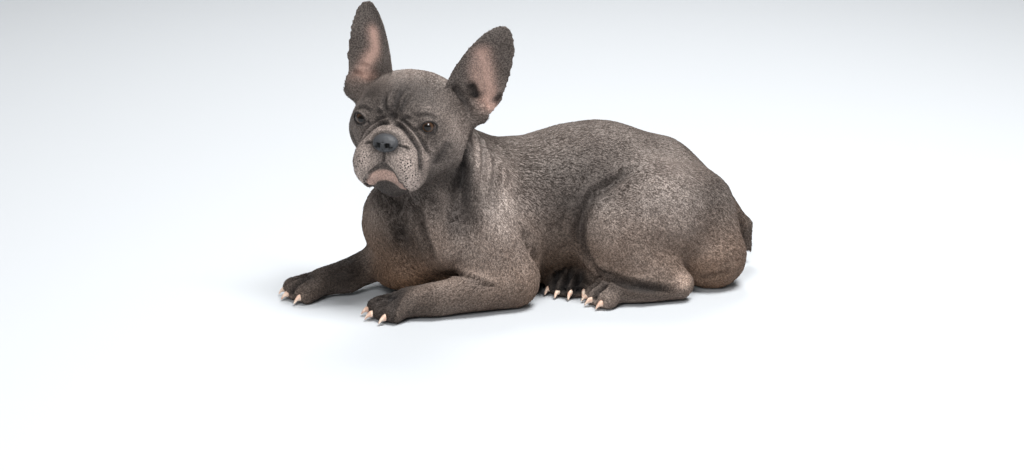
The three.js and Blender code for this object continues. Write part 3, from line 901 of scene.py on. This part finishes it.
print("the coat's lie is set at", len(flow), "points")

# %% [markdown]
# ## The skin's flat map
#
# Every tuft takes its colour from its root, so the coat needs a flat map of the skin: the skin is
# unfolded by the way its own faces point, and each tuft becomes a small patch at its root's place.

# %% Skin object and its map
skin_object = mesh_object("skin", skin_mesh)
skin_mesh.uv_layers.new(name="OFBake")
bpy.context.view_layer.objects.active = skin_object
skin_object.select_set(True)
bpy.ops.object.mode_set(mode="EDIT")
bpy.ops.mesh.select_all(action="SELECT")
bpy.ops.uv.smart_project(angle_limit=math.radians(66), island_margin=0.002)
bpy.ops.object.mode_set(mode="OBJECT")
skin_mesh.shade_smooth()
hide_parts(*FLESH)
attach(skin_object, "root")
print("skin", len(skin_mesh.polygons), "triangles")

# %% [markdown]
# ## Tufts
#
# A hair is too fine to model, so a few together make one tuft: a slim spike with three sides and a
# closed base, rooted under the skin, leaning with the lie of the coat. Roots are strewn over the
# skin's triangles by area. Every tuft carries the masks of its root and a shade of its own.

# %% Coat maker
TUFTS_EACH = 48000  # four triangles each, which keeps a coat piece under its limit
TUFT_FACES = np.array([(0, 2, 1), (0, 3, 2), (2, 3, 1), (1, 3, 0)])
ROOT_DEPTH = 0.35 * MM
CLEAR_OF_FLOOR = 0.2 * MM
PATCH = 0.003  # the size of a tuft's patch on the flat map
loops = np.empty(len(skin_mesh.loops), np.int32)
skin_mesh.loops.foreach_get("vertex_index", loops)
triangles = loops.reshape(-1, 3)
flat = np.empty(len(skin_mesh.loops) * 2, np.float32)
skin_mesh.uv_layers["OFBake"].data.foreach_get("uv", flat)
flat = flat.reshape(-1, 3, 2)
skin_points, skin_normals = skin.points, skin.normals


def strewn(count, weights):
    """Roots strewn over the triangles: which triangle, and the share of each corner."""
    chosen = chance.choice(len(triangles), size=count, p=weights / weights.sum())
    r, s = np.sqrt(chance.random(count)), chance.random(count)
    return chosen, np.stack([1 - r, r * (1 - s), r * s], axis=1)


def at_roots(values, chosen, shares):
    corner = values[triangles[chosen]]
    return (corner * shares.reshape(*shares.shape, *[1] * (values.ndim - 1))).sum(1)


def coat_piece(name, count, weights, width, lift):
    chosen, shares = strewn(count, weights)
    root = at_roots(skin_points, chosen, shares)
    up = unit(at_roots(skin_normals, chosen, shares))
    lie = at_roots(flow, chosen, shares)
    lie = lie + chance.normal(0, 0.16, lie.shape)
    lie = unit(lie - up * (lie * up).sum(1, keepdims=True))
    aside = np.cross(up, lie)
    long = (at_roots(hair, chosen, shares) * chance.uniform(0.75, 1.2, count) * MM)[:, None]
    rise = lift * chance.uniform(0.6, 1.3, count)[:, None]
    wide = width * (0.55 + 0.45 * long / (5 * MM))
    base = root - up * ROOT_DEPTH
    left, right = base + aside * wide / 2, base - aside * wide / 2
    back = base + lie * long * 0.3 + up * long * (rise * 0.9 + 0.06)
    tip = root + lie * long * 0.97 + up * long * rise
    tip[:, 2] = np.maximum(tip[:, 2], CLEAR_OF_FLOOR)
    points = np.stack([left, right, back, tip], axis=1)
    index = (np.arange(count)[:, None, None] * 4 + TUFT_FACES).reshape(-1, 3)
    mesh = bpy.data.meshes.new(name)
    mesh.from_pydata(points.reshape(-1, 3).tolist(), [], index.tolist())
    centre = (flat[chosen] * shares[:, :, None]).sum(1)
    spread = PATCH / 2 * np.array([(-1, -1), (1, -1), (0, 0.3), (0, 1)])
    patch = (centre[:, None, :] + spread).astype(np.float32)
    corner_map = patch.reshape(-1, 2)[index.ravel()]
    mesh.uv_layers.new(name="OFBake").data.foreach_set("uv", corner_map.ravel())
    shade = np.clip(chance.normal(0.5, 0.22, count), 0, 1)
    for mask, values in {**MASKS, "shade": None}.items():
        own = shade if values is None else at_roots(values, chosen, shares)
        layer = mesh.attributes.new(mask, "FLOAT", "POINT")
        layer.data.foreach_set("value", np.repeat(own, 4).astype(np.float32))
    made = mesh_object(name, mesh)
    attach(made, "root")
    return made


# %% Coat
corners = skin_points[triangles]
across, along = corners[:, 1] - corners[:, 0], corners[:, 2] - corners[:, 0]
area = np.linalg.norm(np.cross(across, along), axis=1) / 2
grows = growth[triangles].mean(1)
high = corners[:, :, 2].mean(1) > 4 * MM
on_part = parts[triangles[:, 0]]


def among(*starts):
    """Which triangles lie on a part whose name begins with one of these."""
    return np.any([np.char.startswith(on_part, start) for start in starts], axis=0)


is_head = among("head", "muzzle", "lower_jaw", "ear")
is_fore = among("fore", "upper_arm", "neck")
is_hind = among("thigh", "shank", "hindfoot", "tail")
is_trunk = ~(is_head | is_fore | is_hind)
visible = area * grows * np.where(high, 1.0, 0.25)  # fewer tufts where the dog lies on the floor
coats = [
    coat_piece("coat_head", TUFTS_EACH, visible * is_head, 0.65 * MM, 0.15),
    coat_piece("coat_forequarters", TUFTS_EACH, visible * is_fore, 0.7 * MM, 0.13),
    coat_piece("coat_trunk", TUFTS_EACH, visible * is_trunk, 0.75 * MM, 0.12),
    coat_piece("coat_hindquarters", TUFTS_EACH, visible * is_hind, 0.7 * MM, 0.12),
]
print("tufts", len(coats) * TUFTS_EACH, "over", round(float(area.sum()) * 1e4), "square centimetres")

# %% [markdown]
# ## Eyes
#
# An eyeball is a ball whose rings run round its line of sight, so that iris and pupil can be
# coloured by how far a point is turned from it. The clear cornea is a slight swelling in front,
# and a clear coat over the colour gives the wet highlight.

# %% Eyeballs
LOOK = unit(FORWARD * 1.0 + LEFT * 0.12 + UP * 0.02)
for side in SIDES:
    bm = bmesh.new()
    bmesh.ops.create_uvsphere(bm, u_segments=48, v_segments=40, radius=EYE_RADIUS)
    aim = unit(0.72 * LOOK + 0.28 * eye_axes(side)[0])
    turn = Vector((0, 0, 1)).rotation_difference(Vector(aim)).to_matrix().to_4x4()
    angles = [math.acos(max(-1, min(1, v.co.normalized().z))) for v in bm.verts]
    for v, angle in zip(bm.verts, angles):
        v.co *= 1 + 0.045 * math.exp(-((angle / 0.42) ** 2))
    bmesh.ops.transform(bm, matrix=Matrix.Translation(Vector(EYES[side])) @ turn, verts=bm.verts)
    mesh = bmesh_done(bm, f"eyeball_{side}")
    layer = mesh.attributes.new("from_sight", "FLOAT", "POINT")
    layer.data.foreach_set("value", angles)
    mesh.shade_smooth()
    ball = mesh_object(f"eyeball_{side}", mesh)
    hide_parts(f"eye_{side}")
    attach(ball, "root")
print("eyeballs", round(EYE_RADIUS / MM, 1), "mm in radius")

# %% [markdown]
# ## The nose
#
# The nose leather is a broad pad with a flat front. Two comma-shaped nostrils open into it and
# curl out into a slit at the side, and a groove runs down the middle. It starts as a fine ball in
# the nose solid's place and is shaped with the same brushes as the skin.

# %% Nose
bm = bmesh.new()
bmesh.ops.create_icosphere(bm, subdivisions=6, radius=1)
stretch = Matrix([[*row, 0] for row in (HEAD_AXES.T * NOSE_SIZE * MM).tolist()] + [[0, 0, 0, 1]])
bmesh.ops.transform(bm, matrix=Matrix.Translation(Vector(middle_of("nose"))) @ stretch, verts=bm.verts)
nose_mesh = bmesh_done(bm, "nose_leather")
pad = Skin(nose_mesh)
local = to_head(pad.points) - NOSE_MIDDLE
square = 1 + 0.10 * np.clip(local[:, 0] / NOSE_SIZE[0], 0, 1)[:, None]
pad.points = from_head(NOSE_MIDDLE + local * np.where(np.arange(3) == 0, 1, square))
pad.update()


def nose_point(l, u):
    return from_head(NOSE_MIDDLE + (NOSE_SIZE[0] * 0.95, l, u))


# The nostrils, their slits and the groove leave painted shade on the leather.
for side in (1, -1):
    comma = [nose_point(side * l, u) for l, u in [(5.2, 2.4), (5.4, -0.8), (6.6, -4.0)]]
    crease(pad, pad.snapped(comma), 3.6, 2.2, lip=0.7, shade=1.8, taper=0.15)
    wing = [nose_point(side * l, u) for l, u in [(6.6, -4.0), (10, -4.6), (14, -3.4)]]
    crease(pad, pad.snapped(wing), 2.2, 1.2, lip=0.4, shade=1.0, taper=0.15)
groove = [nose_point(0, u) for u in (4, -1, -6, -10)]
crease(pad, pad.snapped(groove), 1.0, 1.0, shade=0.6)
pad.update()
layer = nose_mesh.attributes.new("dark", "FLOAT", "POINT")
layer.data.foreach_set("value", np.clip(pad.shade, 0, 1).astype(np.float32))
nose_mesh.shade_smooth()
nose_leather = mesh_object("nose_leather", nose_mesh)
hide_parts("nose")
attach(nose_leather, "root")
print("nose", NOSE_SIZE.round(1), "mm")

# %% [markdown]
# ## Claws
#
# A claw is a bent horn cone, thick at the root and blunt at the tip. Each claw solid gives the
# root, the tip and so the length: a round cone is bent along it in a few steps.

# %% Claws
CLAW_RINGS, CLAW_SIDES = 9, 14
CLAW_ROOT, CLAW_TIP, CLAW_BEND = 3.5 * MM, 1.3 * MM, 1.8 * MM


def claw_mesh(node):
    corners = np.unique(corners_of(node).round(6), axis=0)
    paw_middle = middle_of(node[5:-2])
    away = np.linalg.norm(corners[:, :2] - paw_middle[:2], axis=1)
    tip = corners[away > away.max() - 1.2 * MM].mean(0)
    root = corners[away < away.min() + 2.5 * MM].mean(0)
    along = tip - root
    bm = bmesh.new()
    bmesh.ops.create_cone(
        bm, cap_ends=True, segments=CLAW_SIDES, radius1=CLAW_ROOT, radius2=CLAW_TIP, depth=1
    )
    cuts = [e for e in bm.edges if abs(e.verts[0].co.z - e.verts[1].co.z) > 0.5]
    bmesh.ops.subdivide_edges(bm, edges=cuts, cuts=CLAW_RINGS, use_grid_fill=True)
    ahead = unit(along * (1, 1, 0))
    aside = np.cross((0, 0, 1), ahead)
    for v in bm.verts:
        t = v.co.z + 0.5
        round_off = math.sqrt(max(0.0, 1 - max(0.0, (t - 0.8) / 0.22) ** 2))
        bend = CLAW_BEND * math.sin(math.pi * min(t, 1))
        place = root + along * (t * 1.04 - 0.3 * (1 - t))
        place = place + aside * v.co.x * 0.85 * round_off
        place = place + np.array([0, 0, 1]) * (v.co.y * 1.15 * round_off + bend)
        v.co = place
    bmesh.ops.recalc_face_normals(bm, faces=bm.faces)
    mesh = bmesh_done(bm, node + "_horn")
    mesh.shade_smooth()
    return mesh


claws = []
for node in CLAW_NODES:
    horn = mesh_object("horn_" + node[5:], claw_mesh(node))
    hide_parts(node)
    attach(horn, "root")
    claws.append(horn)
print(len(claws), "claws")

# %% [markdown]
# ## Shared effects
#
# Both the skin and the coat are coloured by one node group. It reads the masks and mixes a brown
# grey ground with pale, pink, dark and warm patches, so the two always agree, and it breaks the
# colour up with the fine flecks of light and dark hair. The tone it multiplies in is partly the
# coat's own and partly painted light and shade, and the dark patches are dark skin and painted
# shade in creases, folds and gaps.


# %% Node helpers
def node_group(name, inputs, outputs):
    group = bpy.data.node_groups.new(name, "ShaderNodeTree")
    for kind, sockets in (("INPUT", inputs), ("OUTPUT", outputs)):
        for label, (socket_type, value) in sockets.items():
            socket = group.interface.new_socket(label, in_out=kind, socket_type=socket_type)
            if value is not None:
                socket.default_value = value
    return group


def add(tree, kind, **settings):
    node = tree.nodes.new(kind)
    for name, value in settings.items():
        setattr(node, name, value)
    return node


def mixed(tree, factor, a, b, blend="MIX"):
    """Mixes colours a and b, which are sockets or colours, by a factor socket or number."""
    mix = add(tree, "ShaderNodeMix", data_type="RGBA", blend_type=blend)
    for value, socket in ((factor, mix.inputs[0]), (a, mix.inputs[6]), (b, mix.inputs[7])):
        if isinstance(value, bpy.types.NodeSocket):
            tree.links.new(value, socket)
        else:
            socket.default_value = value
    return mix.outputs[2]


def attribute(tree, name):
    return add(tree, "ShaderNodeAttribute", attribute_name=name).outputs["Fac"]


def stepped(tree, value, low, high):
    """0 below low, 1 above high, and smooth between."""
    step = add(tree, "ShaderNodeMapRange", interpolation_type="SMOOTHSTEP")
    step.inputs["From Min"].default_value = low
    step.inputs["From Max"].default_value = high
    tree.links.new(value, step.inputs["Value"])
    return step.outputs["Result"]


# %% Markings group
COLOUR = "NodeSocketColor"
markings = node_group(
    "Markings",
    {
        "Ground": (COLOUR, (0.135, 0.11, 0.097, 1)),
        "Pale": (COLOUR, (0.36, 0.296, 0.264, 1)),
        "Pink": (COLOUR, (0.56, 0.365, 0.30, 1)),
        "Dark": (COLOUR, (0.014, 0.0125, 0.0125, 1)),
        "Warm": (COLOUR, (0.15, 0.09, 0.057, 1)),
        "Flecks": ("NodeSocketFloat", 0.35),
    },
    {"Colour": (COLOUR, None), "Height": ("NodeSocketFloat", None)},
)
t = markings
inlet, outlet = add(t, "NodeGroupInput"), add(t, "NodeGroupOutput")
place = add(t, "ShaderNodeTexCoord").outputs["Object"]
broad = add(t, "ShaderNodeTexNoise")
broad.inputs["Scale"].default_value = 22
broad.inputs["Detail"].default_value = 3
t.links.new(place, broad.inputs["Vector"])
fleck = add(t, "ShaderNodeTexNoise")
fleck.inputs["Scale"].default_value = 650
fleck.inputs["Detail"].default_value = 2
t.links.new(place, fleck.inputs["Vector"])
LIGHTER_GROUND = (0.20, 0.168, 0.15, 1)
clouds = stepped(t, broad.outputs["Fac"], 0.35, 0.7)
ground = mixed(t, clouds, inlet.outputs["Ground"], LIGHTER_GROUND)
# The tone multiplies the ground: partly the coat's own tone and partly painted light and shade.
tone = add(t, "ShaderNodeCombineColor")
for channel in tone.inputs[:3]:
    t.links.new(attribute(t, "tone"), channel)
colour = mixed(t, attribute(t, "warm"), ground, inlet.outputs["Warm"])
colour = mixed(t, 1.0, colour, tone.outputs["Color"], "MULTIPLY")
colour = mixed(t, attribute(t, "pale"), colour, inlet.outputs["Pale"])
colour = mixed(t, attribute(t, "pink"), colour, inlet.outputs["Pink"])
dots = add(t, "ShaderNodeTexVoronoi")
dots.inputs["Scale"].default_value = 300
dots.inputs["Randomness"].default_value = 0.8
t.links.new(place, dots.inputs["Vector"])
spot = add(t, "ShaderNodeMath", operation="MULTIPLY")
t.links.new(stepped(t, dots.outputs["Distance"], 0.34, 0.2), spot.inputs[0])
t.links.new(stepped(t, attribute(t, "pads"), 0.3, 0.6), spot.inputs[1])
colour = mixed(t, spot.outputs[0], colour, (0.03, 0.026, 0.025, 1))
# Dark skin and painted shade from the dark mask.
colour = mixed(t, attribute(t, "dark"), colour, inlet.outputs["Dark"])
light = mixed(t, stepped(t, fleck.outputs["Fac"], 0.36, 0.66), (0.3, 0.3, 0.3, 1), (1.9, 1.9, 1.9, 1))
furred = add(t, "ShaderNodeMath", operation="MULTIPLY_ADD", use_clamp=True)
t.links.new(attribute(t, "pink"), furred.inputs[0])
furred.inputs[1].default_value = -0.5
t.links.new(inlet.outputs["Flecks"], furred.inputs[2])
colour = mixed(t, furred.outputs[0], colour, mixed(t, 1.0, colour, light, "MULTIPLY"))
t.links.new(colour, outlet.inputs["Colour"])
t.links.new(fleck.outputs["Fac"], outlet.inputs["Height"])
print("markings", len(t.nodes), "nodes")


# %% Materials
def material(name, roughness, **settings):
    made = bpy.data.materials.new(name)
    made.use_nodes = True
    shader = made.node_tree.nodes["Principled BSDF"]
    shader.inputs["Roughness"].default_value = roughness
    for label, value in settings.items():
        shader.inputs[label.replace("_", " ")].default_value = value
    return made, made.node_tree, shader


def bumped(tree, shader, height, strength, distance):
    bump = add(tree, "ShaderNodeBump")
    bump.inputs["Strength"].default_value = strength
    bump.inputs["Distance"].default_value = distance
    tree.links.new(height, bump.inputs["Height"])
    tree.links.new(bump.outputs["Normal"], shader.inputs["Normal"])


def marked(tree, **values):
    paint = add(tree, "ShaderNodeGroup", node_tree=markings)
    for label, value in values.items():
        paint.inputs[label].default_value = value
    return paint


skin_look, tree, shader = material("dog_skin", 0.7, Specular_IOR_Level=0.18)
paint = marked(tree, Flecks=0.6)
tree.links.new(paint.outputs["Colour"], shader.inputs["Base Color"])
bumped(tree, shader, paint.outputs["Height"], 0.5, 0.6 * MM)
skin_mesh.materials.append(skin_look)

coat_look, tree, shader = material("short_coat", 0.6, Specular_IOR_Level=0.15)
paint = marked(tree, Flecks=0.35)
own_shade = mixed(tree, attribute(tree, "shade"), (0.52, 0.51, 0.5, 1), (1.55, 1.55, 1.55, 1))
coat_colour = mixed(tree, 1.0, paint.outputs["Colour"], own_shade, "MULTIPLY")
tree.links.new(coat_colour, shader.inputs["Base Color"])
for coat in coats:
    coat.data.materials.append(coat_look)

# %% Eye, nose and claw looks
wet = {"Coat_Weight": 1.0, "Coat_Roughness": 0.01, "Coat_IOR": 1.45}
eye_look, tree, shader = material("wet_eye", 0.3, Specular_IOR_Level=0.0, **wet)
ramp = add(tree, "ShaderNodeValToRGB")
RINGS = [  # turned from the line of sight, in radians, and the colour there
    (0.0, (0.002, 0.0015, 0.001, 1)),
    (0.29, (0.003, 0.002, 0.0015, 1)),
    (0.33, (0.020, 0.010, 0.006, 1)),
    (0.48, (0.066, 0.036, 0.020, 1)),
    (0.59, (0.036, 0.019, 0.011, 1)),
    (0.65, (0.006, 0.004, 0.003, 1)),
    (0.72, (0.022, 0.015, 0.013, 1)),
    (0.90, (0.14, 0.10, 0.09, 1)),
]
while len(ramp.color_ramp.elements) < len(RINGS):
    ramp.color_ramp.elements.new(0.5)
for element, (position, colour) in zip(ramp.color_ramp.elements, RINGS):
    element.position, element.color = position, colour
tree.links.new(attribute(tree, "from_sight"), ramp.inputs["Fac"])
tree.links.new(ramp.outputs["Color"], shader.inputs["Base Color"])
for side in SIDES:
    bpy.data.objects[f"eyeball_{side}"].data.materials.append(eye_look)

nose_look, tree, shader = material("nose_leather", 0.5, Specular_IOR_Level=0.4)
pebbles = add(tree, "ShaderNodeTexVoronoi")
pebbles.inputs["Scale"].default_value = 900
tree.links.new(add(tree, "ShaderNodeTexCoord").outputs["Object"], pebbles.inputs["Vector"])
# The creases' painted shade darkens the leather.
grey = mixed(tree, attribute(tree, "dark"), (0.05, 0.051, 0.055, 1), (0.001, 0.001, 0.001, 1))
tree.links.new(grey, shader.inputs["Base Color"])
bumped(tree, shader, pebbles.outputs["Distance"], 0.7, 0.4 * MM)
nose_mesh.materials.append(nose_look)

horn_look, tree, shader = material("claw_horn", 0.35, Specular_IOR_Level=0.5)
streaks = add(tree, "ShaderNodeTexNoise")
streaks.inputs["Scale"].default_value = 160
tree.links.new(add(tree, "ShaderNodeTexCoord").outputs["Object"], streaks.inputs["Vector"])
streak = stepped(tree, streaks.outputs["Fac"], 0.35, 0.65)
horn_colour = mixed(tree, streak, (0.62, 0.40, 0.30, 1), (0.78, 0.62, 0.50, 1))
tree.links.new(horn_colour, shader.inputs["Base Color"])
for claw in claws:
    claw.data.materials.append(horn_look)
print("looks", [m.name for m in (skin_look, coat_look, eye_look, nose_look, horn_look)])

# %% [markdown]
# ## Floor, light and camera
#
# A pale floor that curves up behind, a large soft light above the rump, a softer one ahead of the
# face, which also gives the eyes their highlight, and one behind for the edges. The camera stands
# off the dog's left shoulder, a little above it, and far enough away for a long lens.

# %% Stage
bm = bmesh.new()
bmesh.ops.create_grid(bm, x_segments=1, y_segments=1, size=4.0)
far_edge = [e for e in bm.edges if all(v.co.y > 3.9 for v in e.verts)]
raised = bmesh.ops.extrude_edge_only(bm, edges=far_edge)["geom"]
bmesh.ops.translate(bm, vec=(0, 0, 5), verts=[g for g in raised if isinstance(g, bmesh.types.BMVert)])
bmesh.ops.bevel(
    bm,
    geom=far_edge,
    offset=2.0,
    offset_type="OFFSET",
    affect="EDGES",
    segments=16,
    profile=0.5,
    material=-1,
)
bmesh.ops.recalc_face_normals(bm, faces=bm.faces)
floor_mesh = bmesh_done(bm, "floor")
floor_mesh.shade_smooth()
floor = mesh_object("floor", floor_mesh)
floor_look, tree, shader = material("pale_floor", 0.8)
shader.inputs["Base Color"].default_value = (0.50, 0.52, 0.54, 1)
floor_mesh.materials.append(floor_look)
print("floor", len(floor_mesh.polygons), "faces")


def soft_light(name, place, target, size, watts):
    lamp = bpy.data.lights.new(name, "AREA")
    lamp.shape, lamp.size, lamp.energy = "SQUARE", size, watts
    holder = bpy.data.objects.new(name, lamp)
    bpy.context.scene.collection.objects.link(holder)
    holder.location = place
    holder.rotation_euler = (Vector(target) - Vector(place)).to_track_quat("-Z", "Y").to_euler()


soft_light("top_light", (0.5, -0.7, 2.4), (0, 0, 0.1), 1.0, 92)
soft_light("front_light", (-1.25, -2.3, 1.75), BETWEEN_EYES, 0.9, 50)
soft_light("edge_light", (0.6, 1.6, 2.0), (0, 0, 0.15), 1.0, 36)
world = bpy.data.worlds.new("studio")
world.use_nodes = True
world.node_tree.nodes["Background"].inputs["Color"].default_value = (1, 1, 1, 1)
world.node_tree.nodes["Background"].inputs["Strength"].default_value = 0.2
bpy.context.scene.world = world

# %% Camera
CAMERA_FROM_EYES = (-0.772, -2.7752, 0.6985)
VIEW = unit((0.297, 0.914, -0.276))
RIGHT = unit((0.951, -0.309, 0))
camera_data = bpy.data.cameras.new("camera")
camera_data.lens, camera_data.sensor_width = 96.68, 36
camera = bpy.data.objects.new("camera", camera_data)
bpy.context.scene.collection.objects.link(camera)
axes = Matrix([RIGHT.tolist(), np.cross(RIGHT, VIEW).tolist(), (-VIEW).tolist()]).transposed()
camera.matrix_world = Matrix.Translation(Vector(BETWEEN_EYES + CAMERA_FROM_EYES)) @ axes.to_4x4()
bpy.context.scene.camera = camera
bpy.context.scene.view_settings.view_transform = "Standard"
print("camera", [round(c, 3) for c in camera.location], "lens", camera_data.lens)

# %% Update
bpy.context.view_layer.update()
